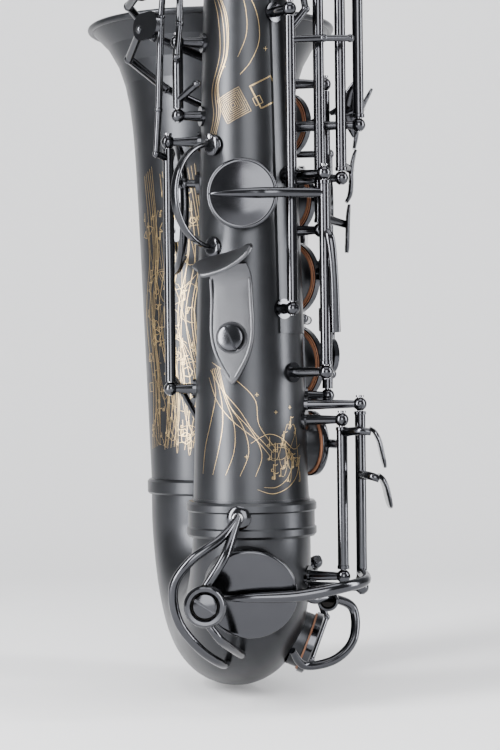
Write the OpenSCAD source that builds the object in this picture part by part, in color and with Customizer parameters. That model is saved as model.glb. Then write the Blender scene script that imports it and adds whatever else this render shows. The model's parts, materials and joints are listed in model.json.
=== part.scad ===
// Alto saxophone. Z runs along the body tube, +X points from the body to the bell and the
// player stands on the -X side. Angles go round +Z from the bell side.
// The origin is the centre of the strap ring's half-round eye.

/* [Body] */
// Length of the straight body tube
body_len = 470; // [465:1:475]
// Outer radius of the body tube at the bow
body_r = 27.3; // [27:0.1:27.6]
// Loss of radius for each millimetre up the body
body_taper = 0.0308; // [0.03:0.0002:0.0316]
// Thickness of the brass sheet
wall = 0.8; // [0.6:0.1:1]

/* [Bow and bell] */
// Distance between the axes of the body and the bell
bell_x = 98; // [97:0.5:99]
// Outer radius of the bell at the bow
bell_r = 33; // [32.5:0.1:33.4]
// Outer radius of the bell's rim
bell_rim_r = 61.5; // [60:0.5:62]
// Height of the bell's rim above the bow joint
bell_top = 244; // [242:1:246]

/* [Keys] */
// Height of a tone hole's wall above the tube
chimney_h = 3; // [2.5:0.1:3.5]
// Outer radius of a hinge tube
tube_r = 2.5; // [2.3:0.1:2.7]
// Radius of a steel hinge rod
rod_r = 1.3; // [1.2:0.05:1.35]
// Radius of a post's ball
ball_r = 3.2; // [3:0.1:3.4]

/* [Neck] */
// Radius of the neck's bend
neck_bend_r = 45; // [44:1:46]
// Length of the straight end that holds the cork
neck_end = 60; // [58:1:62]

/* [Hidden] */
$fn = 48;
cut = 0.01;
run_gap = 0.05;
pad_gap = 0.06;
cup_h = 3.6;
pad_out = 0.8;
pad_h = 3.2;
ferrule_r = body_r + 3;
bow_drop = 5;
bow_r = bell_x / 2;
bow_steps = 9;
bell_start = 15;
flare_len = 16.5;
receiver_z = 458;
neck_z = 500;
ring_phi = 125;
ring_z = 149;
ring_r = 24.5;
ring_strip = 2.2;
ring_w = 8;
view_phi = 169.3;
joint_swell = 1.17;
bend_lap = 0.2;

// Radii of the tapered tubes
function body_or(z) = body_r - body_taper * min(max(z, 0), receiver_z - 5);
function bell_line(z) = bell_r + 0.0376 * (z - bell_start);
function bell_or(z) =
    bell_line(z) + (bell_rim_r - bell_line(bell_top)) * exp((z - bell_top) / flare_len);
function bow_or(a) = body_r + (bell_r - body_r) * a / 180;
// Middle of the bow's tube at a height below the body, on the body's side
function bow_x(z) = z > -bow_drop ? 0 : bow_r - sqrt(bow_r * bow_r - pow(z + bow_drop, 2));

// Points: round the body, round the bell, and as a player standing behind sees them
function round_body(phi, rho, z) = [rho * cos(phi), rho * sin(phi), z];
function round_bell(phi, rho, z) = [bell_x + rho * cos(phi), rho * sin(phi), z];
function from_back(u, d, z) =
    [d * cos(view_phi) + u * sin(view_phi) * -1, d * sin(view_phi) + u * cos(view_phi), z];

eye = round_body(ring_phi, body_or(ring_z) + 1, ring_z);

// Hinge lines: tube it stands on, x, y, lowest post, highest post
function line_at(kind, phi, rho, z0, z1) =
    let (p = kind == "bell" ? round_bell(phi, rho, 0) : round_body(phi, rho, 0))
    [kind, p[0], p[1], z0, z1];
line_right = line_at("body", 270, 37, 57, 203);
line_left = line_at("body", 292, 31, 250, 366);
line_trill = line_at("body", 208, 31.5, 97, 233);
line_fs = line_at("body", 220, 44.5, 68, 158);
line_c = line_at("body", 255, 51, -32, 53);
line_eb = line_at("body", 243, 43.7, -26, 46);
line_side_bb = line_at("body", 232, 37, 133, 301);
line_side_c = line_at("body", 242, 45, 157, 338);
line_side_e = line_at("body", 251, 52, 182, 403);
line_cs = line_at("body", 78, 37, 61, 176);
line_table = line_at("body", 95, 33, 187, 221);
line_bell_b = line_at("bell", 186, 46, 76, 205);
line_bell_bb = line_at("bell", 200, 46, 134, 205);
line_palm = line_at("body", 120, 26, 372, 446);
line_vent = line_at("body", 222, 24, 350, 374);
line_lever = line_at("body", 164, 26, 296, 440);
line_front = line_at("body", 350, 29, 378, 436);
lines = [line_right, line_left, line_trill, line_fs, line_c, line_eb, line_side_bb, line_side_c,
    line_side_e, line_cs, line_table, line_bell_b, line_bell_bb, line_palm, line_vent, line_lever,
    line_front];

// Tone holes on the straight body: angle, height, cup radius
hole_d = [310, 72, 18.5];
hole_e = [310, 113, 17.5];
hole_f = [310, 150, 16.5];
hole_fs = [310, 186, 15];
hole_g = [335, 265, 13.5];
hole_a = [335, 296, 13];
hole_bis = [335, 321, 9];
hole_b = [335, 345, 11];
hole_alt = [164, 149, 16.2];
hole_gs = [225, 251, 10];
hole_side_bb = [212, 285, 11];
hole_side_c = [208, 330, 10.5];
hole_side_e = [212, 395, 9];
hole_palm_d = [75, 384, 10];
hole_palm_eb = [75, 409, 9.5];
hole_palm_f = [75, 434, 9];
hole_eb = [286, 34.5, 15.5];
hole_vent = [195, 362, 4.5];
hole_front = [20, 425, 8];
body_holes = [hole_d, hole_e, hole_f, hole_fs, hole_g, hole_a, hole_bis, hole_b, hole_alt, hole_gs,
    hole_side_bb, hole_side_c, hole_side_e, hole_palm_d, hole_palm_eb, hole_palm_f, hole_eb,
    hole_vent, hole_front];
// Tone holes on the bow (its place is an angle round the bow) and on the bell
hole_c = [166, 19, 21.5];
hole_cs = [245, 62, 15];
hole_bell_b = [258, 95, 22];
hole_bell_bb = [258, 152, 22];

black = [0.10, 0.10, 0.11];
dark = [0.20, 0.20, 0.22];
satin = [0.36, 0.36, 0.38];
gold = [0.80, 0.62, 0.28];
silver = [0.75, 0.76, 0.78];
leather = [0.42, 0.24, 0.15];
cork = [0.76, 0.60, 0.42];

// ---------- shared shapes ----------

// Everything is drawn round the body's axis and moved so that the origin is the ring's eye
module at_eye() {
    translate(-eye) children();
}

// Round bar between two points, with a ball at its far end unless ball is 0
module bar(a, b, r, ball = 0) {
    v = b - a;
    translate(a)
        rotate([0, acos(v[2] / norm(v)), atan2(v[1], v[0])]) {
            cylinder(h = norm(v), r = r);
            if (ball > 0) translate([0, 0, norm(v)]) sphere(r = ball);
        }
}

// Round bar through several points, with a swelling at each joint. Bars differ slightly in
// radius from one to the next, as filed and brazed arms do.
module path(points, r) {
    for (i = [1 : len(points) - 1])
        bar(points[i - 1], points[i], r * (i % 2 == 1 ? 1 : 0.93), r * joint_swell);
}

// Places its child on a tube: its +Z points away from the tube's axis, its +X points down
module facing(phi, rho, z) {
    rotate([0, 0, phi]) translate([rho, 0, z]) rotate([0, 90, 0]) children();
}

module round_bell_axis() {
    translate([bell_x, 0, 0]) children();
}

// Frame of the bow at an angle: Z along the tube towards the body, X towards the bend's centre
module at_bow(a) {
    translate([bow_r, 0, -bow_drop]) rotate([0, -a, 0]) translate([-bow_r, 0, 0]) children();
}

// Part of a bent tube in the XZ plane, with the bend's centre at the origin
module bend(bend_r, r, from, sweep) {
    rotate([90, 0, 0]) rotate([0, 0, from])
        rotate_extrude(angle = sweep + bend_lap) translate([bend_r, 0]) circle(r = r);
}

module chimney(hole, surf) {
    facing(hole[0], surf * 0.55, hole[1])
        cylinder(h = surf * 0.45 + chimney_h, r = hole_radius(hole) + wall);
}

module chimney_bore(hole, surf) {
    facing(hole[0], surf * 0.4, hole[1])
        cylinder(h = surf * 0.6 + chimney_h + 1, r = hole_radius(hole));
}

function hole_radius(hole) = hole[2] - (hole[2] > 12 ? 2.5 : 1.8);

// Where a key cup sits, measured from the tube's axis
function rim(surf) = surf + chimney_h + pad_gap;
function cup_top(surf) = rim(surf) + pad_out + cup_h;

// Key cup with its pad's recess, opening towards -Z, lip at pad_out
module cup_shell(r, recess = true) {
    difference() {
        translate([0, 0, pad_out]) union() {
            cylinder(h = cup_h - 0.7, r = r);
            translate([0, 0, cup_h - 0.7]) cylinder(h = 0.7, r1 = r, r2 = r - 1.2);
        }
        if (recess) translate([0, 0, -cut]) cylinder(h = pad_h + cut, r = r - wall);
    }
}

module pad_disc(r) {
    cylinder(h = pad_h, r = r - wall);
}

module cup_on(hole, surf, recess) {
    facing(hole[0], rim(surf), hole[1]) {
        cup_shell(hole[2], recess);
        if (!recess) cylinder(h = pad_h, r = hole[2] - wall);
    }
}

module pad_on(hole, surf) {
    facing(hole[0], rim(surf), hole[1]) pad_disc(hole[2]);
}

// Point over a cup: k is how far along the tangent, in cup radii
function over_cup(hole, surf, k, lift) =
    let (top = cup_top(surf) + lift, s = k * hole[2])
    [top * cos(hole[0]) - s * sin(hole[0]), top * sin(hole[0]) + s * cos(hole[0]), hole[1]];

// Hinge tube on a line between two heights
module hinge_tube(line, z0, z1) {
    translate([line[1], line[2], z0]) cylinder(h = z1 - z0, r = tube_r);
}

module hinge_bore(line) {
    translate([line[1], line[2], line[3] - 20])
        cylinder(h = line[4] - line[3] + 40, r = rod_r + run_gap);
}

// Swings its child about a hinge line
module swing(line, angle) {
    translate([line[1], line[2], 0]) rotate([0, 0, angle]) translate([-line[1], -line[2], 0]) children();
}

// Arm from a hinge tube over a cup; way is the side of the cup that the hinge is on
module cup_arm(line, hole, surf, way, r = 1.7, from_z = undef) {
    start_z = is_undef(from_z) ? hole[1] : from_z;
    lift = r * joint_swell - 1;
    path([[line[1], line[2], start_z], over_cup(hole, surf, way * 1.02, lift),
        over_cup(hole, surf, -way * 0.55, lift)], r);
}

// Key on the body: tube, arm and cup, then whatever arms and touches are its children
module body_key(line, z0, z1, hole, way, recess = false, from_z = undef) {
    surf = body_or(hole[1]);
    difference() {
        union() {
            hinge_tube(line, z0, z1);
            cup_arm(line, hole, surf, way, from_z = from_z);
            cup_on(hole, surf, recess);
            children();
        }
        hinge_bore(line);
    }
}

// Round finger pearl in its holder, facing outwards
module pearl(phi, rho, z, r) {
    facing(phi, rho, z) {
        cylinder(h = 2.4, r = r);
        translate([0, 0, 2.4]) cylinder(h = 0.8, r1 = r - 0.6, r2 = r - 2);
    }
}

// Flat touch with round ends, facing outwards
module touch(phi, rho, z, tall, wide, thick = 2) {
    dx = max(tall - wide, 0) / 2;
    dy = max(wide - tall, 0) / 2;
    facing(phi, rho, z) linear_extrude(height = thick) {
        square([dx > 0 ? 2 * dx : tall, dx > 0 ? wide : 2 * dy], center = true);
        for (s = [-1, 1]) translate([s * dx, s * dy]) circle(d = min(tall, wide));
    }
}

// ---------- tubes ----------

module body_tube() {
    color(black) at_eye() difference() {
        union() {
            cylinder(h = 10, r = body_r);
            translate([0, 0, 10])
                cylinder(h = receiver_z - 15, r1 = body_or(10), r2 = body_or(receiver_z - 5));
            translate([0, 0, receiver_z - 5])
                cylinder(h = body_len - receiver_z + 5, r = body_or(receiver_z));
            for (h = body_holes) chimney(h, body_or(h[1]));
        }
        translate([0, 0, -cut])
            cylinder(h = receiver_z - 5, r1 = body_r - wall, r2 = body_or(receiver_z) - wall);
        translate([0, 0, receiver_z - 10]) cylinder(h = 40, r = body_or(receiver_z) - wall - cut);
        for (h = body_holes) chimney_bore(h, body_or(h[1]));
    }
}

module bow() {
    step = 180 / bow_steps;
    color(black) at_eye() difference() {
        union() {
            translate([0, 0, -bow_drop - cut]) cylinder(h = bow_drop + cut, r = body_r);
            translate([bell_x, 0, -bow_drop - cut]) cylinder(h = bow_drop + bell_start + cut, r = bell_r);
            translate([bow_r, 0, -bow_drop]) for (i = [0 : bow_steps - 1])
                bend(bow_r, bow_or((i + 0.5) * step), 180 + i * step, step);
            at_bow(hole_c[1]) chimney([hole_c[0], 0, hole_c[2]], bow_or(hole_c[1]));
            at_bow(hole_cs[1]) chimney([hole_cs[0], 0, hole_cs[2]], bow_or(hole_cs[1]));
        }
        translate([0, 0, -bow_drop - cut]) cylinder(h = bow_drop + 1, r = body_r - wall);
        translate([bell_x, 0, -bow_drop - cut])
            cylinder(h = bow_drop + bell_start + 1, r = bell_r - wall);
        translate([bow_r, 0, -bow_drop]) for (i = [0 : bow_steps - 1])
            bend(bow_r, bow_or((i + 0.5) * step) - wall, 180 + i * step, step);
        at_bow(hole_c[1]) chimney_bore([hole_c[0], 0, hole_c[2]], bow_or(hole_c[1]));
        at_bow(hole_cs[1]) chimney_bore([hole_cs[0], 0, hole_cs[2]], bow_or(hole_cs[1]));
    }
}

module bell() {
    flare = [for (i = [0 : 14]) bell_start + (bell_top - bell_start) * pow(i / 14, 0.55)];
    color(black) at_eye() round_bell_axis() difference() {
        union() {
            rotate_extrude() polygon(concat(
                [for (z = flare) [bell_or(z), z]],
                [for (i = [14 : -1 : 0]) [bell_or(flare[i]) - wall, flare[i]]]));
            translate([0, 0, bell_top]) rotate_extrude() translate([bell_rim_r, 0]) circle(r = 1.6);
            for (h = [hole_bell_b, hole_bell_bb]) chimney_shell(h, bell_or(h[1]));
        }
        for (h = [hole_bell_b, hole_bell_bb]) chimney_bore(h, bell_or(h[1]));
    }
}

// Tone hole wall that starts at the sheet, for a tube that isn't bored afterwards
module chimney_shell(hole, surf) {
    difference() {
        chimney(hole, surf);
        translate([0, 0, hole[1] - 40])
            cylinder(h = 80, r1 = bell_or(hole[1] - 40) - wall / 2,
                r2 = bell_or(hole[1] + 40) - wall / 2);
    }
}

module body_ferrule() {
    color(dark) at_eye() rotate_extrude() polygon([[body_r, -7.6], [ferrule_r - 1, -7.6],
        [ferrule_r, -6.4], [ferrule_r, -3.6], [ferrule_r - 0.8, -2.8], [ferrule_r - 0.8, 4],
        [ferrule_r, 4.8], [ferrule_r, 7.6], [ferrule_r - 1, 8.8], [body_r, 8.8]]);
}

module bell_ferrule() {
    r = bell_r + 2;
    color(dark) at_eye() round_bell_axis() rotate_extrude() polygon([[bell_r, 7], [r - 0.8, 7],
        [r, 8], [r, 13.4], [r - 0.8, 14.4], [bell_r, 14.9]]);
}

module neck_receiver() {
    r = body_or(receiver_z);
    color(dark) at_eye() difference() {
        union() {
            translate([0, 0, receiver_z]) cylinder(h = neck_z - receiver_z, r = r + 1.7);
            translate([0, 0, receiver_z]) cylinder(h = 5, r = r + 2.4);
            translate([0, 0, neck_z - 6]) cylinder(h = 6, r = r + 2.4);
            translate([0, 10, neck_z - 9]) rotate([90, 0, 0])
                translate([15.5, 0, 5]) cylinder(h = 10, r = 4.4);
        }
        translate([0, 0, receiver_z - cut]) cylinder(h = body_len - receiver_z + cut, r = r);
        translate([0, 0, body_len - 1]) cylinder(h = 40, r = r - wall + run_gap);
        translate([r - 1, -0.7, neck_z - 20]) cube([14, 1.4, 21]);
        translate([15.5, 20, neck_z - 9]) rotate([90, 0, 0]) cylinder(h = 40, r = 1.75);
    }
}

module receiver_screw() {
    color(silver) at_eye() translate([15.5, 0, neck_z - 9]) rotate([90, 0, 0]) {
        translate([0, 0, -7]) cylinder(h = 18, r = 1.7);
        translate([0, 0, 5.1]) cylinder(h = 2, r = 3);
        translate([0, 0, 10.9]) intersection() {
            translate([0, 0, 3]) cube([14, 2.2, 10], center = true);
            translate([0, -3, 3]) rotate([-90, 0, 0]) cylinder(h = 6, r = 6);
        }
    }
}

module bell_brace() {
    c = [42, 28, 148];
    color(dark) at_eye() {
        translate(c) rotate([90, 0, 0]) rotate_extrude() translate([30, 0]) circle(r = 2.1);
        bar([12.6, 28, 157], round_body(67, body_or(157) - 0.3, 157), 2);
        facing(67, body_or(157) - 0.5, 157) cylinder(h = 2, r = 5.5);
        translate([13, 28, 157]) sphere(r = 3.1);
        for (z = [139, 157]) {
            bar([71.4, 28, z], round_bell(141, bell_or(z) - 0.3, z), 2);
            round_bell_axis() facing(141, bell_or(z) - 0.5, z) cylinder(h = 1.8, r = 5.5);
        }
    }
}

// ---------- posts, rods and ribs ----------

function post_axis(kind, z) = kind == "bell" ? bell_x : bow_x(z);
function post_surf(kind, z) = kind == "bell" ? bell_or(z) : z < 0 ? body_r + 1.1 : body_or(z);

module post(line, z) {
    ax = post_axis(line[0], z);
    surf = post_surf(line[0], z);
    reach = norm([line[1] - ax, line[2]]);
    translate([ax, 0, z]) rotate([0, 0, atan2(line[2], line[1] - ax)]) difference() {
        union() {
            translate([surf - 0.55, 0, 0]) rotate([0, 90, 0]) cylinder(h = 1.7, r = 4.6);
            translate([surf, 0, 0]) rotate([0, 90, 0]) cylinder(h = reach - surf, r1 = 2.6, r2 = 1.7);
            translate([reach, 0, 0]) sphere(r = ball_r);
        }
        translate([reach, 0, -10]) cylinder(h = 20, r = rod_r + 0.02);
    }
}

module key_posts() {
    color(dark) at_eye() {
        for (l = lines) for (z = [l[3], l[4]]) post(l, z);
        at_bow(hole_cs[1]) for (z = [-15, 15]) facing(300, bow_or(hole_cs[1]) - 0.9, z) {
            cylinder(h = 2, r = 4.6);
            cylinder(h = 41 - bow_or(hole_cs[1]) - 1, r1 = 2.6, r2 = 1.7);
        }
        at_bow(hole_cs[1]) for (z = [-15, 15]) difference() {
            translate(round_body(300, 41, z)) sphere(r = ball_r);
            translate(round_body(300, 41, z - 5)) cylinder(h = 10, r = rod_r + 0.02);
        }
    }
}

module slotted_rod(h) {
    difference() {
        union() {
            cylinder(h = h, r = rod_r);
            translate([0, 0, h]) cylinder(h = 0.9, r = 1.9);
        }
        translate([-3, -0.3, h + 0.4]) cube([6, 0.6, 1]);
    }
}

module hinge_rods() {
    color(silver) at_eye() {
        for (l = lines) translate([l[1], l[2], l[3] - ball_r]) slotted_rod(l[4] - l[3] + 2 * ball_r);
        at_bow(hole_cs[1]) translate(round_body(300, 41, -15 - ball_r)) slotted_rod(30 + 2 * ball_r);
    }
}

// Curved strap under the posts
module rib(from, sweep, z0, z1) {
    rotate([0, 0, from]) rotate_extrude(angle = sweep) polygon([[body_or(z0) - 0.05, z0],
        [body_or(z1) - 0.05, z1], [body_or(z1) + 0.8, z1], [body_or(z0) + 0.8, z0]]);
}

module key_ribs() {
    color(dark) at_eye() {
        rib(203, 54, 86, 240);
        rib(262, 16, 49.5, 88);
        rib(284, 16, 243, 251);
        rib(113, 15, 364, 452);
    }
}

// ---------- fittings ----------

module strap_ring() {
    color(dark) at_eye() rotate([0, 0, ring_phi]) translate([norm([eye[0], eye[1]]), 0, ring_z]) {
        rotate([90, 0, 0]) translate([0, 0, -ring_w / 2]) rotate([0, 0, -90])
            rotate_extrude(angle = 180) translate([ring_r - ring_strip, 0]) square([ring_strip, ring_w]);
        for (s = [-1, 1]) translate([-1.6, 0, s * (ring_r - ring_strip / 2)])
            rotate([0, 90, 0]) cylinder(h = 2.4, r = 5);
        translate([0, 0, ring_r + 2.4]) rotate([0, 90, 0]) cylinder(h = 3, r = 1.8);
    }
}

module thumb_hook() {
    hook_z = 94;
    color(satin) at_eye() rotate([0, 0, 152]) difference() {
        translate([body_or(62) + 0.1, 0, hook_z]) {
            rotate([90, 0, 90]) linear_extrude(height = 2) hook_plate();
            translate([10, 9, 14]) rotate([90, 0, 0]) rotate([0, 0, 35])
                rotate_extrude(angle = 145) translate([7.7, 0]) square([2.1, 18]);
        }
        translate([0, 0, 84]) rotate([0, 90, 0]) cylinder(h = 60, r = 3.1);
    }
}

// Plate with a round top and a drawn-out foot
module hook_plate() {
    translate([-10, -14]) square([20, 32]);
    translate([0, 18]) circle(r = 10);
    polygon([[-10, -14], [10, -14], [2, -29], [-2, -29]]);
    translate([0, -29]) circle(r = 2);
}

module thumb_hook_screw() {
    color(dark) at_eye() rotate([0, 0, 152]) translate([body_or(84), 0, 84]) rotate([0, 90, 0])
        difference() {
            union() {
                cylinder(h = 3, r = 3);
                translate([0, 0, 2.85]) cylinder(h = 1.6, r = 6.3);
                translate([0, 0, 4.45]) cylinder(h = 0.8, r1 = 6.3, r2 = 5);
            }
            translate([0, 0, 5]) rotate([0, 0, 65]) cube([14, 1.2, 1.4], center = true);
        }
}

module thumb_rest() {
    color(black) at_eye() facing(168, body_or(262) - 0.3, 262) {
        cylinder(h = 3, r = 11);
        translate([0, 0, 3]) cylinder(h = 1.4, r1 = 11, r2 = 8);
    }
}

module lyre_holder() {
    z = 445;
    color(dark) at_eye() rotate([0, 0, 40]) difference() {
        union() {
            translate([body_or(z) - 0.5, -2.2, z]) cube([10, 4.4, 11]);
            translate([25, 0, z]) cylinder(h = 11, r = 4.4);
            translate([25, 0, z + 5.5]) rotate([0, 90, 0]) cylinder(h = 9, r = 1.6);
            translate([32.5, 0, z + 5.5]) rotate([0, 90, 0]) cylinder(h = 2.5, r = 4.2);
        }
        translate([25, 0, z - 5]) cylinder(h = 30, r = 2.5);
    }
}

module low_C_guard() {
    c = from_back(-21, 46, -35);
    foot = from_back(-5.8, 31, 3.1);
    color(dark) at_eye() {
        facing(view_phi - 11, ferrule_r - 0.9, 2.5) cylinder(h = 2.2, r = 5.5);
        path([foot, from_back(-14, 40, -6), from_back(-27, 44, -15), from_back(-35, 42, -27),
            from_back(-33, 40, -42.7), from_back(-23.6, 34, -56), from_back(-14, 18, -65),
            from_back(-12, -4, -67)], 2);
        translate(foot) sphere(r = 2.8);
        path([foot, from_back(-12, 44, -13), c], 1.8);
        path([c, from_back(-14, 43, -51), from_back(-6, 20, -60), from_back(-5.4, 3, -63)], 1.9);
        translate(c) rotate([0, 90, view_phi]) cylinder(h = 4, r = 9.3);
    }
}

module low_Cs_guard() {
    color(dark) at_eye() {
        path([from_back(18, 12, -60), from_back(24, 4, -68), from_back(38, 0, -66),
            from_back(47, -4, -57), from_back(47, -8, -43), from_back(36, 2, -37),
            from_back(28, 8, -37), from_back(22, 12, -33)], 2);
        translate(from_back(35, 2, -38)) rotate([0, 90, view_phi]) cylinder(h = 4, r = 5);
    }
}

module bell_key_guard() {
    rho = 60;
    color(dark) at_eye() round_bell_axis() {
        for (z = [67, 123.5, 180]) {
            bar(round_body(258, bell_or(z) - 0.4, z), round_body(258, rho, z), 1.8, 2.6);
            facing(258, bell_or(z) - 0.6, z) cylinder(h = 1.8, r = 5);
        }
        path([for (z = [67, 123.5, 180]) round_body(258, rho, z)], 2);
        for (z = [hole_bell_b[1], hole_bell_bb[1]])
            facing(258, rho - 4, z) cylinder(h = 6, r = 8);
    }
}

module guard_bumpers() {
    color(black) at_eye() {
        translate(from_back(-21, 44.5, -35)) rotate([0, 90, view_phi]) cylinder(h = 1.5, r = 7);
        translate(from_back(35, 0.5, -38)) rotate([0, 90, view_phi]) cylinder(h = 1.5, r = 4);
        for (z = [hole_bell_b[1], hole_bell_bb[1]])
            round_bell_axis() facing(258, 53.9, z) cylinder(h = 2.1, r = 6);
    }
}

// ---------- neck and mouthpiece ----------

neck_turn = 75;
neck_arc = 260;
neck_r0 = 12.2;
neck_r1 = 6.5;
neck_base = neck_z + 6;
// Where each stretch of the neck ends
neck_a = [-neck_bend_r * (1 - cos(neck_turn)), neck_base + neck_bend_r * sin(neck_turn)];
neck_b = [neck_a[0] - neck_arc * cos(neck_turn), neck_a[1] + neck_arc * (1 - sin(neck_turn))];
cork_x = neck_b[0] - 24;
cork_r = 7.8;
tip_x = neck_b[0] - neck_end;
mouth_x = tip_x + 22;

module neck_solid(less) {
    steps = 5;
    translate([0, 0, body_len + 0.4])
        cylinder(h = neck_base - body_len - 0.3, r = body_or(receiver_z) - wall - less);
    translate([-neck_bend_r, 0, neck_base]) for (i = [0 : steps - 1])
        bend(neck_bend_r, neck_r0 - 0.55 * i - less, i * neck_turn / steps, neck_turn / steps);
    translate([neck_a[0] - neck_arc * cos(neck_turn), 0, neck_b[1] - neck_arc])
        for (i = [0 : 2]) bend(neck_arc, neck_r0 - 2.75 - 0.6 * i - less, neck_turn + 5 * i, 5);
    translate([neck_b[0] + cut, 0, neck_b[1]]) rotate([0, -90, 0])
        cylinder(h = neck_end, r1 = 7.9 - less, r2 = neck_r1 - less);
}

module neck_tube() {
    color(black) at_eye() difference() {
        union() {
            neck_solid(0);
            translate([0, 0, neck_z]) cylinder(h = 6, r = body_or(receiver_z) + 1.7);
            neck_saddle();
        }
        neck_solid(wall);
        translate([0, 0, body_len - 5]) cylinder(h = 10, r = body_or(receiver_z) - 2 * wall);
        translate([tip_x + 2, 0, neck_b[1]]) rotate([0, -90, 0]) cylinder(h = 6, r = neck_r1 - wall);
        neck_vent_bore();
    }
    color(black) at_eye() neck_pip();
}

// Cross pin over the neck's crown, on two lugs, that the octave key rocks on
pivot = [neck_a[0] - 4, neck_a[1] + 14.3];
module neck_saddle() {
    translate([pivot[0], 8.2, pivot[1]]) rotate([90, 0, 0]) cylinder(h = 16.4, r = rod_r);
    for (s = [-1, 1]) {
        bar([pivot[0], s * 7.2, pivot[1] - 8.5], [pivot[0], s * 7.2, pivot[1]], 1.5);
        translate([pivot[0], s * 7.2 + 1.2, pivot[1]]) rotate([90, 0, 0]) cylinder(h = 2.4, r = 2.6);
    }
}

pip_turn = 52;
module at_pip() {
    translate([-neck_bend_r, 0, neck_base]) rotate([0, -pip_turn, 0]) translate([neck_bend_r, 0, 0])
        rotate([0, 90, 0]) children();
}

module neck_vent_bore() {
    at_pip() cylinder(h = 20, r = 1);
}

module neck_pip() {
    at_pip() translate([0, 0, 9]) difference() {
        cylinder(h = 5, r = 2.4);
        translate([0, 0, -1]) cylinder(h = 8, r = 1);
    }
}

module neck_cork() {
    color(cork) at_eye() translate([cork_x, 0, neck_b[1]]) rotate([0, -90, 0]) difference() {
        cylinder(h = tip_x * -1 + cork_x - 1, r = cork_r);
        translate([0, 0, -cut]) cylinder(h = 60, r = 7.35);
    }
}

module mouthpiece() {
    len = 82;
    color(black) at_eye() translate([mouth_x, 0, neck_b[1]]) rotate([0, -90, 0]) difference() {
        union() {
            cylinder(h = 4, r = 12.6);
            cylinder(h = 42, r1 = 12, r2 = 12.6);
            translate([0, 0, 42]) cylinder(h = len - 42, r1 = 12.6, r2 = 9);
        }
        translate([0, 0, -cut]) cylinder(h = 26, r = cork_r + run_gap);
        translate([0, 0, 25]) cylinder(h = 30, r1 = 7, r2 = 5.5);
        translate([-24.4, -20, 28]) cube([14, 40, 80]);
        translate([-14, -5, 44]) cube([10, 10, 32]);
        translate([9.5, -20, 52]) rotate([0, -22, 0]) cube([30, 40, 60]);
    }
}

module reed() {
    color(cork) at_eye() translate([mouth_x, 0, neck_b[1]]) rotate([0, -90, 0]) difference() {
        translate([-12.4, -6.5, 30]) cube([1.95, 13, 51]);
        translate([-12.5, -10, 52]) rotate([0, 3, 0]) translate([-5, 0, 0]) cube([5, 20, 40]);
    }
}

module ligature() {
    color(gold) at_eye() translate([mouth_x - 33, 0, neck_b[1]]) rotate([0, -90, 0]) difference() {
        union() {
            cylinder(h = 18, r = 15.2);
            for (z = [4, 14]) {
                translate([-17.6, 6, z]) rotate([90, 0, 0]) cylinder(h = 12, r = 2.4);
                translate([-17.6, -5.5, z - 1.8]) cube([4, 11, 3.6]);
            }
        }
        translate([0, 0, -1]) cylinder(h = 30, r = 14.05);
        translate([-22, -0.7, -1]) cube([9, 1.4, 30]);
        for (z = [4, 14]) translate([-17.6, 20, z]) rotate([90, 0, 0]) cylinder(h = 40, r = 1.25);
    }
}

module ligature_screws() {
    color(gold) at_eye() translate([mouth_x - 33, 0, neck_b[1]]) rotate([0, -90, 0])
        for (z = [4, 14]) translate([-17.6, 0, z]) rotate([90, 0, 0]) {
            translate([0, 0, -8]) cylinder(h = 14.05, r = 1.2);
            translate([0, 0, 6.05]) cylinder(h = 5, r = 3.4);
        }
}

// ---------- octave mechanism ----------

module neck_octave_key() {
    // Ring round the tenon, bridge over the neck and pad on the pip
    top = [neck_a[0] - 8, neck_a[1] + 14];
    color(dark) at_eye() difference() {
        union() {
            translate([0, 0, neck_base + 1.4]) rotate_extrude() translate([19, 0]) circle(r = 1.6);
            path([[17.8, 0, neck_base + 1.4], [19, 0, neck_base + 14], [8, 0, neck_base + 45],
                [-6.7, 0, neck_base + 51], [top[0], 0, top[1] + 1]], 1.8);
            at_pip() translate([0, 0, 14.06]) cylinder(h = 4, r = 4);
            path([[-30, 9.6, neck_base + 52], [-24, 5, neck_base + 60], [top[0], 0, top[1] + 1],
                [-24, -5, neck_base + 60], [-30, -9.6, neck_base + 52]], 1.6);
            translate([pivot[0], 5.6, pivot[1]]) rotate([90, 0, 0]) cylinder(h = 11.2, r = tube_r);
        }
        translate([pivot[0], 7, pivot[1]]) rotate([90, 0, 0]) cylinder(h = 14, r = rod_r + run_gap);
    }
}

module octave_lever() {
    line = line_lever;
    color(dark) at_eye() difference() {
        union() {
            hinge_tube(line, 299.3, 436.7);
            path([[line[1], line[2], 303], round_body(158, 31, 298), round_body(150, 31, 289)], 1.8);
            touch(148, 30, 283, 14, 18);
            path([[line[1], line[2], 432], round_body(168, 33, 434), round_body(180, 34, 470),
                round_body(185, 25, neck_z), round_body(185, 25, neck_z + 9)], 1.8);
        }
        hinge_bore(line);
    }
}

module body_octave_key() {
    color(dark) at_eye() body_key(line_vent, 353.3, 370.7, hole_vent, 1)
        path([[line_vent[1], line_vent[2], 356], round_body(234, 25, 352)], 1.3);
}

// ---------- keys of the left hand ----------

module palm_key(hole, z0, z1, touch_z) {
    body_key(line_palm, z0, z1, hole, 1) {
        path([[line_palm[1], line_palm[2], hole[1]], round_body(134, 31, touch_z)], 1.7);
        touch(143, 30, touch_z, 21, 12);
    }
}

module palm_D() {
    color(dark) at_eye() palm_key(hole_palm_d, 375.3, 396.5, 366);
}

module palm_Eb() {
    color(dark) at_eye() palm_key(hole_palm_eb, 396.7, 421, 390);
}

module palm_F() {
    color(dark) at_eye() palm_key(hole_palm_f, 421.2, 442.7, 414);
}

module front_F() {
    color(dark) at_eye() body_key(line_front, 381.3, 432.7, hole_front, -1) {
        path([[line_front[1], line_front[2], 386], round_body(336, 32, 386)], 1.7);
        pearl(331, 31, 386, 7);
    }
}

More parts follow.
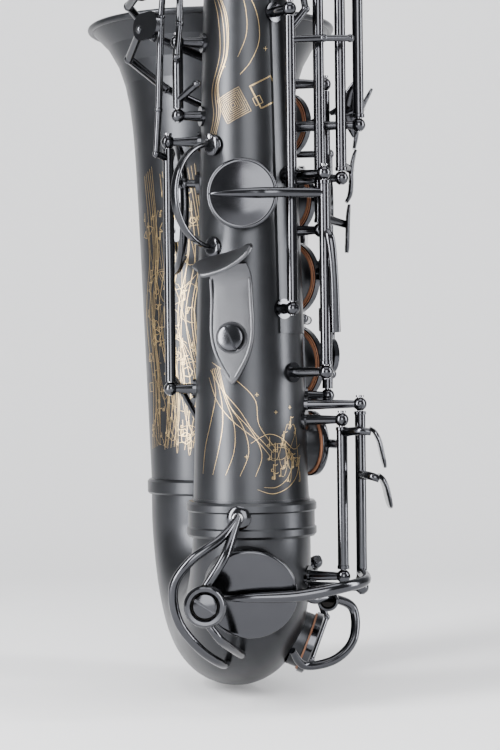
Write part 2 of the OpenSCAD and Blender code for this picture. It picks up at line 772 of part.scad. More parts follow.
left_open = -6.5;
module left_key(hole, z0, z1, pearl_z) {
    surf = body_or(hole[1]);
    swing(line_left, left_open) body_key(line_left, z0, z1, hole, -1) {
        path([[line_left[1], line_left[2], pearl_z], round_body(345, surf + 15, pearl_z)], 1.7);
        pearl(350, surf + 12, pearl_z, 7.5);
    }
}

module key_G() {
    color(dark) at_eye() left_key(hole_g, 253.3, 281, 268);
}

module key_A() {
    color(dark) at_eye() left_key(hole_a, 281.2, 309, 300);
}

module key_bis() {
    color(dark) at_eye() left_key(hole_bis, 309.2, 331, 318);
}

module key_B() {
    color(dark) at_eye() left_key(hole_b, 331.2, 362.7, 350);
}

// ---------- keys of the right hand ----------

right_open = -7.5;
module right_key(hole, z0, z1, with_pearl) {
    surf = body_or(hole[1]);
    swing(line_right, right_open) body_key(line_right, z0, z1, hole, -1) if (with_pearl) {
        path([[line_right[1], line_right[2], hole[1] + 4], round_body(284, surf + 15, hole[1] + 4)], 1.7);
        pearl(288, surf + 15.5, hole[1] + 4, 8.3);
    }
}

module key_D() {
    color(dark) at_eye() right_key(hole_d, 60.3, 92, true);
}

module key_E() {
    color(dark) at_eye() right_key(hole_e, 92.2, 131, true);
}

module key_F() {
    color(dark) at_eye() right_key(hole_f, 131.2, 168, true);
}

module key_Fs() {
    color(dark) at_eye() right_key(hole_fs, 168.2, 199.7, false);
}

module alt_Fs() {
    color(dark) at_eye() body_key(line_fs, 71.3, 154.7, hole_alt, 1, true)
        path([[line_fs[1], line_fs[2], 132], from_back(37, 32, 127), from_back(38.5, 31, 110),
            from_back(39, 28, 86)], 2);
}

module key_Gs() {
    surf = body_or(hole_gs[1]);
    color(dark) at_eye() difference() {
        union() {
            hinge_tube(line_trill, 100.3, 229.7);
            cup_on(hole_gs, surf, false);
            path([[line_trill[1], line_trill[2], 223.5], round_body(219, 35.5, 233),
                over_cup(hole_gs, surf, 0.25, 1)], 1.7);
            path([[line_trill[1], line_trill[2], 219], from_back(35, 27.5, 219),
                from_back(47, 26, 219)], 1.6);
        }
        hinge_bore(line_trill);
    }
}

module Gs_lever() {
    color(dark) at_eye() difference() {
        union() {
            hinge_tube(line_table, 190.3, 217.7);
            path([[line_table[1], line_table[2], 212], round_body(107, 36, 213), round_body(109, 35, 228),
                round_body(117, 37, 275)], 1.6);
            touch(121, 37.5, 279, 13, 20);
            path([[line_table[1], line_table[2], 194], round_body(120, 30, 200)], 1.6);
        }
        hinge_bore(line_table);
    }
}

module Cs_lever() {
    line = line_cs;
    color(dark) at_eye() difference() {
        union() {
            hinge_tube(line, 64.3, 172.7);
            path([[line[1], line[2], 168], round_body(86, 42.5, 170), round_body(90, 41.5, 190),
                round_body(97, 41, 232), round_body(108, 41.5, 257)], 1.6);
            touch(117, 41, 260, 11, 20);
            path([[line[1], line[2], 68], [34, 27, 60], [43, 10, 32], [44, 0, 4]], 1.7);
        }
        hinge_bore(line);
    }
}

module side_Bb() {
    color(dark) at_eye() body_key(line_side_bb, 136.3, 297.7, hole_side_bb, 1) {
        path([[line_side_bb[1], line_side_bb[2], 139], round_body(260, 47, 137)], 1.7);
        touch(262, 46, 133, 24, 10);
    }
}

module side_C() {
    color(dark) at_eye() body_key(line_side_c, 160.3, 334.7, hole_side_c, 1) {
        path([[line_side_c[1], line_side_c[2], 163], round_body(262, 49, 162)], 1.7);
        touch(263, 48, 159, 24, 10);
    }
}

module side_E() {
    color(dark) at_eye() body_key(line_side_e, 185.3, 399.7, hole_side_e, 1) {
        path([[line_side_e[1], line_side_e[2], 189], round_body(266, 56, 188)], 1.7);
        touch(267, 55, 186, 26, 10);
    }
}

module low_Eb() {
    color(dark) at_eye() body_key(line_eb, -22.7, 42.7, hole_eb, -1, true) {
        path([[line_eb[1], line_eb[2], 40], round_body(236, 58, 37)], 1.8);
        touch(235, 59, 32, 16, 24);
    }
}

c_open = 3.5;
module low_C() {
    surf = bow_or(hole_c[1]);
    color(dark) at_eye() swing(line_c, c_open) difference() {
        union() {
            hinge_tube(line_c, -28.7, 49.7);
            at_bow(hole_c[1]) facing(hole_c[0], rim(surf), 0) cup_shell(hole_c[2]);
            path([[line_c[1], line_c[2], -25], from_back(50, 23, -27), from_back(37, 34, -29),
                from_back(18, 33.6, -32.5), from_back(-17, 31.3, -32.5)], 2.2);
            path([[line_c[1], line_c[2], 20], round_body(240, 59, 18)], 1.8);
            touch(239.5, 59, 13, 14, 24);
        }
        hinge_bore(line_c);
    }
}

module low_Cs() {
    line = line_at("body", 300, 41, -15, 15);
    surf = bow_or(hole_cs[1]);
    h = [hole_cs[0], 0, hole_cs[2]];
    color(dark) at_eye() at_bow(hole_cs[1]) difference() {
        union() {
            hinge_tube(line, -11.7, 11.7);
            cup_arm(line, h, surf, 1);
            cup_on(h, surf, true);
            path([[line[1], line[2], 9], round_body(318, 42, 12), round_body(336, 44, 14)], 1.7);
        }
        hinge_bore(line);
    }
}

bell_open = -3.5;
module bell_cup_key(line, z0, z1, hole) {
    surf = bell_or(hole[1]);
    swing(line, bell_open) difference() {
        union() {
            hinge_tube(line, z0, z1);
            round_bell_axis() cup_arm([line[0], line[1] - bell_x, line[2]], hole, surf, -1, 2);
            round_bell_axis() cup_on(hole, surf, true);
            children();
        }
        hinge_bore(line);
    }
}

module low_B() {
    l = line_bell_b;
    color(dark) at_eye() bell_cup_key(l, 79.3, 201.7, hole_bell_b) {
        path([[l[1], l[2], 190], [42, 6, 195], [33, 32, 205], [8, 51, 215], round_body(112, 51, 224)], 2);
        touch(118, 50, 225, 12, 20);
    }
}

module low_Bb() {
    l = line_bell_bb;
    color(dark) at_eye() bell_cup_key(l, 137.3, 201.7, hole_bell_bb) {
        path([[l[1], l[2], 198], [43, -13, 203], [32, 6, 217], [22, 38, 228], [4, 51, 239],
            round_body(112, 51, 242)], 2);
        touch(118, 50, 243, 12, 20);
    }
}

// ---------- pads ----------

module pad_alt_Fs() {
    color(leather) at_eye() pad_on(hole_alt, body_or(hole_alt[1]));
}

module pad_low_Eb() {
    color(leather) at_eye() pad_on(hole_eb, body_or(hole_eb[1]));
}

module pad_low_C() {
    color(leather) at_eye() swing(line_c, c_open) at_bow(hole_c[1])
        pad_on([hole_c[0], 0, hole_c[2]], bow_or(hole_c[1]));
}

module pad_low_Cs() {
    color(leather) at_eye() at_bow(hole_cs[1]) pad_on([hole_cs[0], 0, hole_cs[2]], bow_or(hole_cs[1]));
}

module pad_low_B() {
    color(leather) at_eye() swing(line_bell_b, bell_open) round_bell_axis()
        pad_on(hole_bell_b, bell_or(hole_bell_b[1]));
}

module pad_low_Bb() {
    color(leather) at_eye() swing(line_bell_bb, bell_open) round_bell_axis()
        pad_on(hole_bell_bb, bell_or(hole_bell_bb[1]));
}

body_tube();
neck_receiver();
receiver_screw();
bow();
bell();
body_ferrule();
bell_ferrule();
bell_brace();
key_posts();
hinge_rods();
key_ribs();
thumb_hook();
thumb_hook_screw();
thumb_rest();
strap_ring();
lyre_holder();
low_C_guard();
low_Cs_guard();
bell_key_guard();
guard_bumpers();
neck_tube();
neck_cork();
mouthpiece();
ligature();
ligature_screws();
reed();
neck_octave_key();
octave_lever();
body_octave_key();
palm_D();
palm_Eb();
palm_F();
front_F();
side_E();
side_C();
side_Bb();
key_B();
key_bis();
key_A();
key_G();
key_Gs();
Gs_lever();
key_F();
key_E();
key_D();
key_Fs();
alt_Fs();
low_Eb();
low_C();
low_Cs();
Cs_lever();
low_B();
low_Bb();
pad_alt_Fs();
pad_low_Eb();
pad_low_C();
pad_low_Cs();
pad_low_B();
pad_low_Bb();
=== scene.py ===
"""Black lacquered alto saxophone: materials, smooth tubes, fittings, engraving, light and camera."""
import json
import math
import random

import bmesh
import bpy
from mathutils import Matrix, Vector


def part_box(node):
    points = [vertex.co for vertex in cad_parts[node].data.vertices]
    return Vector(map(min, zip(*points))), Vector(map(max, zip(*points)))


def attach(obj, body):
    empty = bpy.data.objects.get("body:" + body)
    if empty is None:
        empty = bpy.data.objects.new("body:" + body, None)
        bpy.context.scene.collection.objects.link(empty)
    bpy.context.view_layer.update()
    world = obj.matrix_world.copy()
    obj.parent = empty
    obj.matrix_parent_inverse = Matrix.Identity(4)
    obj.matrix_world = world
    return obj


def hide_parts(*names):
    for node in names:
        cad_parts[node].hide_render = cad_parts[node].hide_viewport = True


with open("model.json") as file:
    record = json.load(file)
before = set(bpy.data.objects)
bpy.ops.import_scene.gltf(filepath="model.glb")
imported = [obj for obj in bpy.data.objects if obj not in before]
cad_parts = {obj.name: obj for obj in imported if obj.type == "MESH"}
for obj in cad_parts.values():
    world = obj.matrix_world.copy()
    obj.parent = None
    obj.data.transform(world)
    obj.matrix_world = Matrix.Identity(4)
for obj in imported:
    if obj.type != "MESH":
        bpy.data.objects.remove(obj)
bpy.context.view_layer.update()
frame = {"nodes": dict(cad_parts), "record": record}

# ---------- the instrument's own measures, in metres ----------
MM = 0.001
FERRULE_DROP = 7.6 * MM          # the body ferrule's lower edge, below the joint of body and bow
BODY_R = 27.3 * MM
BODY_TAPER = 0.0308
BELL_R = 33 * MM
BELL_RIM_R = 61.5 * MM
BELL_TOP = 244 * MM
BELL_START = 15 * MM
FLARE = 16.5 * MM
BOW_DROP = 5 * MM
CHIMNEY = 3 * MM
WALL = 0.8 * MM
CUP_GAP = 0.06 * MM
VIEW_PHI = math.radians(169.3)   # direction from the body's axis to the viewer


def box_centre(node):
    lo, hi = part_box(node)
    return [(a + b) / 2 for a, b in zip(lo, hi)]


ferrule_lo, ferrule_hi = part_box("body_ferrule")
AXIS = Vector((box_centre("body_ferrule")[0], box_centre("body_ferrule")[1],
               ferrule_lo[2] + FERRULE_DROP))
BELL_AXIS = Vector((box_centre("bell_ferrule")[0], box_centre("bell_ferrule")[1], AXIS.z))
BOW_R = (BELL_AXIS.x - AXIS.x) / 2


def body_r(z):
    return BODY_R - BODY_TAPER * min(max(z, 0), 453 * MM)


def bell_r(z):
    def line(h):
        return BELL_R + 0.0376 * (h - BELL_START)
    return line(z) + (BELL_RIM_R - line(BELL_TOP)) * math.exp((z - BELL_TOP) / FLARE)


def round_body(phi, rho, z):
    """A point by its angle round the body in degrees, its distance from the axis and its height."""
    a = math.radians(phi)
    return AXIS + Vector((rho * math.cos(a), rho * math.sin(a), z))


TO_VIEWER = Vector((math.cos(VIEW_PHI), math.sin(VIEW_PHI), 0))
TO_RIGHT = Vector((-math.sin(VIEW_PHI), math.cos(VIEW_PHI), 0))


def from_back(u, d, z):
    """A point as seen from behind: u to the right, d towards the viewer, z up, in millimetres."""
    return AXIS + TO_RIGHT * u * MM + TO_VIEWER * d * MM + Vector((0, 0, z * MM))


# ---------- mesh helpers ----------
def add_mesh(name, bm, body, material, smooth=True):
    bmesh.ops.recalc_face_normals(bm, faces=bm.faces)
    mesh = bpy.data.meshes.new(name)
    bm.to_mesh(mesh)
    bm.free()
    for poly in mesh.polygons:
        poly.use_smooth = smooth
    mesh.set_sharp_from_angle(angle=math.radians(42))
    obj = bpy.data.objects.new(name, mesh)
    bpy.context.scene.collection.objects.link(obj)
    mesh.materials.append(material)
    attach(obj, body)
    return obj


def rings_to_faces(bm, rings, closed_path=False, caps=True):
    count = len(rings[0])
    pairs = list(zip(rings, rings[1:]))
    if closed_path:
        pairs.append((rings[-1], rings[0]))
    for a, b in pairs:
        for i in range(count):
            j = (i + 1) % count
            bm.faces.new((a[i], a[j], b[j], b[i]))
    if caps and not closed_path:
        bm.faces.new(list(reversed(rings[0])))
        bm.faces.new(rings[-1])


def lathe(bm, profile, matrix=Matrix.Identity(4), sides=64):
    """Turns a closed profile of (radius, height) about the matrix's Z."""
    rings = []
    for i in range(sides):
        a = 2 * math.pi * i / sides
        rings.append([bm.verts.new(matrix @ Vector((r * math.cos(a), r * math.sin(a), h))) for r,
                      h in profile])
    rings_to_faces(bm, rings, closed_path=True)


def disc(bm, profile, matrix=Matrix.Identity(4), sides=48):
    """Turns an open profile, from the rim outwards to a cap at each end, about the matrix's Z."""
    rings = []
    for r, h in profile:
        ring = []
        for i in range(sides):
            a = 2 * math.pi * i / sides
            ring.append(bm.verts.new(matrix @ Vector((r * math.cos(a), r * math.sin(a), h))))
        rings.append(ring)
    rings_to_faces(bm, rings)


def spline(points, steps):
    """Catmull-Rom through the points, each a tuple of any length."""
    out = []
    n = len(points)
    for i in range(n - 1):
        p0 = points[max(i - 1, 0)]
        p1, p2 = points[i], points[i + 1]
        p3 = points[min(i + 2, n - 1)]
        for k in range(steps):
            t = k / steps
            out.append(tuple(
                0.5 * (2 * b + (c - a) * t + (2 * a - 5 * b + 4 * c - d) * t * t
                       + (3 * b - a - 3 * c + d) * t ** 3)
                for a, b, c, d in zip(p0, p1, p2, p3)))
    out.append(tuple(points[-1]))
    return out


def sweep(bm, stations, up=None, sides=20, steps=8, power=1.0):
    """Skins an ellipse along stations of (point, half width, half height); up keeps its height direction."""
    flat = [(*p, w, h) for p, w, h in stations]
    path = spline(flat, steps) if steps > 1 else flat
    pts = [Vector(s[:3]) for s in path]
    side_dir = None
    rings = []
    for i, s in enumerate(path):
        tangent = (pts[min(i + 1, len(pts) - 1)] - pts[max(i - 1, 0)]).normalized()
        if up is not None:
            side_dir = tangent.cross(up(pts[i]) if callable(up) else up).normalized()
        elif side_dir is None:
            side_dir = tangent.orthogonal().normalized()
        side_dir = (side_dir - tangent * side_dir.dot(tangent)).normalized()
        height_dir = side_dir.cross(tangent).normalized()
        ring = []
        for k in range(sides):
            a = 2 * math.pi * k / sides
            c, sn = math.cos(a), math.sin(a)
            x = math.copysign(abs(c) ** power, c) * s[3]
            y = math.copysign(abs(sn) ** power, sn) * s[4]
            ring.append(bm.verts.new(pts[i] + side_dir * x + height_dir * y))
        rings.append(ring)
    rings_to_faces(bm, rings)


def facing(phi, rho, z, centre=AXIS):
    """Matrix whose Z points away from a tube's axis at an angle and height, X down the tube."""
    a = math.radians(phi)
    out = Vector((math.cos(a), math.sin(a), 0))
    down = Vector((0, 0, -1))
    side = out.cross(down)
    place = centre + out * rho + Vector((0, 0, z))
    m = Matrix((down, side, out)).transposed().to_4x4()
    m.translation = place
    return m


# ---------- materials ----------
def node_material(name, base, rough, metallic=0.0, coat=0.0, vary=0.15, grain=900.0, bump=0.02,
                  rough_vary=0.08, tint=None, stretch=(1, 1, 1), spec=0.5):
    """Principled surface whose colour, roughness and fine relief come from noise in object space."""
    m = bpy.data.materials.new(name)
    m.use_nodes = True
    nt = m.node_tree
    bsdf = nt.nodes["Principled BSDF"]
    coord = nt.nodes.new("ShaderNodeTexCoord")
    mapping = nt.nodes.new("ShaderNodeMapping")
    mapping.inputs["Scale"].default_value = stretch
    nt.links.new(coord.outputs["Object"], mapping.inputs["Vector"])
    broad = nt.nodes.new("ShaderNodeTexNoise")
    broad.inputs["Scale"].default_value = grain * 0.05
    broad.inputs["Detail"].default_value = 5
    fine = nt.nodes.new("ShaderNodeTexNoise")
    fine.inputs["Scale"].default_value = grain
    fine.inputs["Detail"].default_value = 3
    nt.links.new(mapping.outputs["Vector"], broad.inputs["Vector"])
    nt.links.new(mapping.outputs["Vector"], fine.inputs["Vector"])
    mix = nt.nodes.new("ShaderNodeMix")
    mix.data_type = "RGBA"
    other = tint or tuple(min(1, c * (1 + vary * 2)) for c in base)
    mix.inputs["A"].default_value = (*base, 1)
    mix.inputs["B"].default_value = (*other, 1)
    nt.links.new(broad.outputs["Fac"], mix.inputs["Factor"])
    nt.links.new(mix.outputs["Result"], bsdf.inputs["Base Color"])
    ramp = nt.nodes.new("ShaderNodeMapRange")
    ramp.inputs["To Min"].default_value = max(0.02, rough - rough_vary)
    ramp.inputs["To Max"].default_value = rough + rough_vary
    nt.links.new(broad.outputs["Fac"], ramp.inputs["Value"])
    nt.links.new(ramp.outputs["Result"], bsdf.inputs["Roughness"])
    relief = nt.nodes.new("ShaderNodeBump")
    relief.inputs["Strength"].default_value = bump
    relief.inputs["Distance"].default_value = 0.0004
    nt.links.new(fine.outputs["Fac"], relief.inputs["Height"])
    nt.links.new(relief.outputs["Normal"], bsdf.inputs["Normal"])
    bsdf.inputs["Metallic"].default_value = metallic
    bsdf.inputs["Coat Weight"].default_value = coat
    bsdf.inputs["Coat Roughness"].default_value = 0.12
    bsdf.inputs["Specular IOR Level"].default_value = spec
    return m


MATERIALS = {
    "black_lacquer": node_material("black_lacquer", (0.030, 0.031, 0.034), 0.34, 0.9, 0.0, 0.12, 2600,
                                   0.05, 0.05),
    "black_nickel": node_material("black_nickel", (0.050, 0.051, 0.056), 0.16, 1.0, 0.0, 0.15, 1800, 0.02,
                                  0.04),
    "satin_nickel": node_material("satin_nickel", (0.085, 0.086, 0.092), 0.36, 1.0, 0.0, 0.1, 3000, 0.06,
                                  0.04),
    "steel": node_material("steel", (0.16, 0.16, 0.17), 0.22, 1.0, 0.0, 0.1, 1500, 0.03, 0.05,
                           stretch=(1, 1, 0.05)),
    "pad_leather": node_material("pad_leather", (0.20, 0.085, 0.045), 0.55, 0.0, 0.0, 0.35, 1400, 0.5,
                                 0.08),
    "gold_brass": node_material("gold_brass", (0.72, 0.50, 0.20), 0.26, 1.0, 0.0, 0.1, 1200, 0.03, 0.06),
    "engraving": node_material("engraving", (0.62, 0.44, 0.20), 0.34, 1.0, 0.0, 0.2, 2500, 0.1, 0.1),
    "black_plastic": node_material("black_plastic", (0.012, 0.012, 0.013), 0.12, 0.0, 0.3, 0.1, 900, 0.01,
                                   0.03),
    "cane": node_material("cane", (0.62, 0.45, 0.22), 0.6, 0.0, 0.0, 0.2, 700, 0.3, 0.08,
                          stretch=(0.04, 1, 1)),
    "cork": node_material("cork", (0.42, 0.26, 0.13), 0.85, 0.0, 0.0, 0.5, 900, 0.8, 0.08,
                          tint=(0.62, 0.43, 0.25)),
    "felt": node_material("felt", (0.02, 0.018, 0.018), 0.95, 0.0, 0.0, 0.3, 4000, 0.8, 0.04),
}


def finish_cad_nodes():
    """Gives every CAD node the material of its record slot and smooths its round faces."""
    slots = {s["node"]: s["material_slot"] for s in frame["record"]["subparts"]}
    for name, obj in frame["nodes"].items():
        mesh = obj.data
        mesh.materials.clear()
        mesh.materials.append(MATERIALS[slots[name]])
        for poly in mesh.polygons:
            poly.use_smooth = True
            poly.material_index = 0
        mesh.set_sharp_from_angle(angle=math.radians(28))


finish_cad_nodes()


# ---------- smooth tubes ----------
def bow_path(a, rho=0.0, phi=0.0):
    """A point round the bow's tube: a is the turn along the bow, phi the angle round the tube."""
    t = math.radians(a)
    centre = AXIS + Vector((BOW_R - BOW_R * math.cos(t), 0, -BOW_DROP - BOW_R * math.sin(t)))
    inward = Vector((math.cos(t), 0, math.sin(t)))
    out = inward * math.cos(phi) * rho + Vector((0, 1, 0)) * math.sin(phi) * rho
    return centre + out


def bow_r(a):
    return BODY_R + (BELL_R - BODY_R) * min(max(a, 0), 180) / 180


BOW_HOLES = ((19, 166, 21.5), (62, 245, 15))


def bow_frame(a, phi):
    """Matrix at the bow's surface: Z outwards, for a tone hole at a turn and an angle."""
    t = math.radians(a)
    centre = bow_path(a)
    inward = Vector((math.cos(t), 0, math.sin(t)))
    p = math.radians(phi)
    out = inward * math.cos(p) + Vector((0, 1, 0)) * math.sin(p)
    along = Vector((math.sin(t), 0, -math.cos(t)))
    m = Matrix((along, out.cross(along), out)).transposed().to_4x4()
    m.translation = centre
    return m


def tube_shell(bm, centres, radii, wall, sides=96):
    """Thin-walled tube along centres, each with its tangent; the ends are closed by the wall's thickness."""
    loops = []
    for (centre, tangent), r in list(zip(centres, radii)):
        side = Vector((0, 1, 0))
        other = tangent.cross(side).normalized()
        ring = []
        for radius in (r, r - wall):
            ring.append([bm.verts.new(centre + other * math.cos(2 * math.pi * i / sides) * radius
                                      + side * math.sin(2 * math.pi * i / sides) * radius)
                         for i in range(sides)])
        loops.append(ring)
    for a, b in zip(loops, loops[1:]):
        for layer in (0, 1):
            for i in range(sides):
                j = (i + 1) % sides
                bm.faces.new((a[layer][i], a[layer][j], b[layer][j], b[layer][i]))
    for end in (loops[0], loops[-1]):
        for i in range(sides):
            j = (i + 1) % sides
            bm.faces.new((end[0][i], end[0][j], end[1][j], end[1][i]))


def punch(obj, matrix, r, depth):
    """Cuts a round hole in obj with its axis on the matrix's Z."""
    bm = bmesh.new()
    disc(bm, [(r, depth[0]), (r, depth[1])], matrix, 64)
    bmesh.ops.recalc_face_normals(bm, faces=bm.faces)
    mesh = bpy.data.meshes.new("cutter")
    bm.to_mesh(mesh)
    bm.free()
    cutter = bpy.data.objects.new("cutter", mesh)
    bpy.context.scene.collection.objects.link(cutter)
    mod = obj.modifiers.new("hole", "BOOLEAN")
    mod.object = cutter
    mod.operation = "DIFFERENCE"
    mod.solver = "EXACT"
    bpy.context.view_layer.update()
    done = bpy.data.meshes.new_from_object(obj.evaluated_get(bpy.context.evaluated_depsgraph_get()))
    obj.modifiers.clear()
    obj.data = done
    bpy.data.objects.remove(cutter)


def chimney_profile(hole_r, surf):
    """Tone hole wall with a rolled rim."""
    top = surf + CHIMNEY
    return [(hole_r + WALL, surf - 2.2 * MM), (hole_r + WALL, top - 0.5 * MM),
            (hole_r + WALL * 0.9, top - 0.12 * MM),
            (hole_r + WALL * 0.5, top), (hole_r + WALL * 0.1, top - 0.12 * MM), (hole_r, top - 0.5 * MM),
            (hole_r, surf - 2.2 * MM)]


def hole_radius(cup):
    return (cup - (2.5 if cup > 12 else 1.8)) * MM


def make_bow():
    stations = []
    radii = []
    stations.append((AXIS + Vector((0, 0, -0.01 * MM)), Vector((0, 0, -1))))
    radii.append(BODY_R)
    turns = 72
    for i in range(turns + 1):
        a = 180 * i / turns
        t = math.radians(a)
        stations.append((bow_path(a), Vector((math.sin(t), 0, -math.cos(t)))))
        radii.append(bow_r(a))
    stations.append((BELL_AXIS + Vector((0, 0, BELL_START)), Vector((0, 0, 1))))
    radii.append(BELL_R)
    bm = bmesh.new()
    tube_shell(bm, stations, radii, WALL)
    obj = add_mesh("bow_smooth", bm, "root", MATERIALS["black_lacquer"])
    for a, phi, cup in BOW_HOLES:
        punch(obj, bow_frame(a, phi), hole_radius(cup), (bow_r(a) * 0.5, bow_r(a) + 8 * MM))
    for poly in obj.data.polygons:
        poly.use_smooth = True
    obj.data.set_sharp_from_angle(angle=math.radians(40))
    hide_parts("bow")
    for n, (a, phi, cup) in enumerate(BOW_HOLES):
        bm = bmesh.new()
        lathe(bm, chimney_profile(hole_radius(cup), bow_r(a)), bow_frame(a, phi))
        add_mesh("bow_tone_hole_%d" % (n + 1), bm, "root", MATERIALS["black_lacquer"])


make_bow()


# ---------- tone holes: angle round the body, height and cup radius, in degrees and millimetres ---
HOLES = {
    "key_D": (310, 72, 18.5), "key_E": (310, 113, 17.5), "key_F": (310, 150, 16.5),
    "key_Fs": (310, 186, 15),
    "key_G": (335, 265, 13.5), "key_A": (335, 296, 13), "key_bis": (335, 321, 9), "key_B": (335, 345, 11),
    "alt_Fs": (164, 149, 16.2), "key_Gs": (225, 251, 10), "side_Bb": (212, 285, 11),
    "side_C": (208, 330, 10.5),
    "side_E": (212, 395, 9), "palm_D": (75, 384, 10), "palm_Eb": (75, 409, 9.5), "palm_F": (75, 434, 9),
    "low_Eb": (286, 34.5, 15.5), "front_F": (20, 425, 8),
}


# ---------- engraving: thin gold ribbons that lie on the tubes ----------
LIFT = 0.05 * MM


def ribbon(bm, points, half, normal_of, closed=False):
    """Flat ribbon of given half width through points on a surface, raised by LIFT."""
    n = len(points)
    rows = []
    for i, p in enumerate(points):
        a = points[(i - 1) % n] if closed else points[max(i - 1, 0)]
        b = points[(i + 1) % n] if closed else points[min(i + 1, n - 1)]
        tangent = (b - a).normalized()
        normal = normal_of(p)
        side = tangent.cross(normal).normalized()
        w = half if closed else half * (0.35 + 0.65 * math.sin(math.pi * min(max(i / (n - 1), 0.03),
                                                                             0.97)) ** 0.5)
        top = p + normal * LIFT
        rows.append([bm.verts.new(top + side * w), bm.verts.new(top - side * w),
                     bm.verts.new(p - side * w - normal * LIFT),
                     bm.verts.new(p + side * w - normal * LIFT)])
    if closed:
        rows.append(rows[0])
    for a, b in zip(rows, rows[1:]):
        for k in range(4):
            m = (k + 1) % 4
            bm.faces.new((a[k], a[m], b[m], b[k]))
    if not closed:
        bm.faces.new(list(reversed(rows[0])))
        bm.faces.new(rows[-1])


def body_normal(p):
    return Vector((p.x - AXIS.x, p.y - AXIS.y, 0)).normalized()


def bell_normal(p):
    return Vector((p.x - BELL_AXIS.x, p.y - BELL_AXIS.y, 0)).normalized()


def on_body(s, z):
    """Point on the body's face towards the viewer: s is the distance round the tube, both in millimetres."""
    r = body_r(z * MM)
    a = VIEW_PHI + s * MM / r
    return AXIS + Vector((r * math.cos(a), r * math.sin(a), z * MM))


BELL_VIEW = math.radians(150)


def on_bell(s, z):
    r = bell_r(z * MM)
    a = BELL_VIEW + s * MM / r
    return BELL_AXIS + Vector((r * math.cos(a), r * math.sin(a), z * MM))


def curve(bm, place, normal_of, knots, half, steps=10):
    pts = [place(*k) for k in spline(knots, steps)]
    ribbon(bm, pts, half, normal_of)


def polygon(bm, place, normal_of, cx, cz, radius, turn, half, corners=4, steps=8):
    """Closed outline with straight sides, bent on to the tube."""
    corner = [(cx + radius * math.cos(turn + 2 * math.pi * i / corners),
               cz + radius * math.sin(turn + 2 * math.pi * i / corners)) for i in range(corners)]
    pts = []
    for i in range(corners):
        a, b = corner[i], corner[(i + 1) % corners]
        for k in range(steps):
            t = k / steps
            pts.append(place(a[0] + (b[0] - a[0]) * t, a[1] + (b[1] - a[1]) * t))
    ribbon(bm, pts, half, normal_of, closed=True)


def sheaf(bm, place, normal_of, left, right, count, half, sag=0.0):
    """Lines shared out between two border lines, each a list of (across, height)."""
    for i in range(count):
        t = i / (count - 1)
        knots = []
        for k, (a, b) in enumerate(zip(left, right)):
            u = k / (len(left) - 1)
            bend = sag * math.sin(math.pi * t) * math.sin(math.pi * u)
            knots.append((a[0] + (b[0] - a[0]) * t + bend, a[1] + (b[1] - a[1]) * t))
        curve(bm, place, normal_of, knots, half, 12)


def sparkle(bm, place, normal_of, s, z, r, half):
    for turn in (0, math.pi / 2):
        c, sn = math.cos(turn), math.sin(turn)
        curve(bm, place, normal_of, [(s - c * r, z - sn * r), (s, z), (s + c * r, z + sn * r)], half, 3)


def circuit(bm, place, normal_of, rng, s0, s1, z0, z1, count, half):
    """Small stems, flags and blocks scattered over a patch, joined here and there by fine lines."""
    last = None
    for i in range(count):
        s, z = rng.uniform(s0, s1), rng.uniform(z0, z1)
        high = rng.uniform(1.5, 4.5)
        curve(bm, place, normal_of, [(s, z), (s, z + high / 2), (s, z + high)], half, 3)
        polygon(bm, place, normal_of, s - 0.5, z, rng.uniform(0.4, 0.8), math.pi / 4, half, steps=2)
        if i % 3 == 0:
            curve(bm, place, normal_of, [(s, z + high), (s + 1.2, z + high - 0.5), (s + 2.2, z + high)],
                  half * 1.3, 3)
        if last and i % 2:
            curve(bm, place, normal_of, [last, ((last[0] + s) / 2, last[1]), (s, z)], half * 0.6, 4)
        last = (s, z)


def engrave_body():
    rng = random.Random(7)
    bm = bmesh.new()
    fine = 0.075 * MM
    sheaf(bm, on_body, body_normal, [(-26, 22), (-24, 34), (-20, 46), (-17, 58), (-19, 70)],
          [(2, 21), (5, 31), (0, 42), (-10, 54), (-15, 71)], 5, fine, 2.5)
    sheaf(bm, on_body, body_normal, [(-21, 66), (-16, 55), (-8, 46), (2, 38), (9, 30)],
          [(-19, 73), (-8, 66), (2, 56), (4, 44), (12, 33)], 3, fine, -2.0)
    curve(bm, on_body, body_normal, [(3, 15), (10, 13), (18, 15.5), (24, 21), (27, 30)], fine)
    curve(bm, on_body, body_normal, [(6, 16), (12, 16), (18, 20), (21, 27), (18, 33), (12, 34)], fine)
    curve(bm, on_body, body_normal, [(0, 36), (8, 40), (15, 38), (22, 33), (27, 35)], fine)
    circuit(bm, on_body, body_normal, rng, 8, 27, 17, 44, 24, fine)
    for s, z in ((3, 58), (-8, 74), (12, 50), (20, 52), (-2, 30)):
        sparkle(bm, on_body, body_normal, s, z, 0.9, fine)
    tilt = math.radians(72)
    for i in range(7):
        polygon(bm, on_body, body_normal, -6.5, 190, 8.8 - i * 1.25, tilt, 0.045 * MM)
    for size in (8.2, 7.7):
        polygon(bm, on_body, body_normal, 9.0, 196, size, tilt, fine)
    polygon(bm, on_body, body_normal, 5.0, 192, 2.6, tilt, fine)
    sheaf(bm, on_body, body_normal, [(-20, 176), (-17, 186), (-18, 198), (-13, 214), (-14, 232),
                                     (-19, 250), (-16, 268)],
          [(-17, 174), (-13, 187), (-14, 200), (-9, 214), (-9, 231), (-15, 250), (-8, 270)], 4, fine, 1.0)
    curve(bm, on_body, body_normal, [(-4, 258), (0, 244), (5, 232), (6, 220), (2, 210), (-3, 204)],
          0.09 * MM)
    curve(bm, on_body, body_normal, [(-7, 262), (-3, 246), (0, 233), (0, 222), (-4, 212)], fine)
    for s, z in ((9, 216), (14, 178), (16, 200), (-11, 208), (11, 240)):
        sparkle(bm, on_body, body_normal, s, z, 1.0, fine)
    add_mesh("engraving_body", bm, "root", MATERIALS["engraving"], smooth=False)


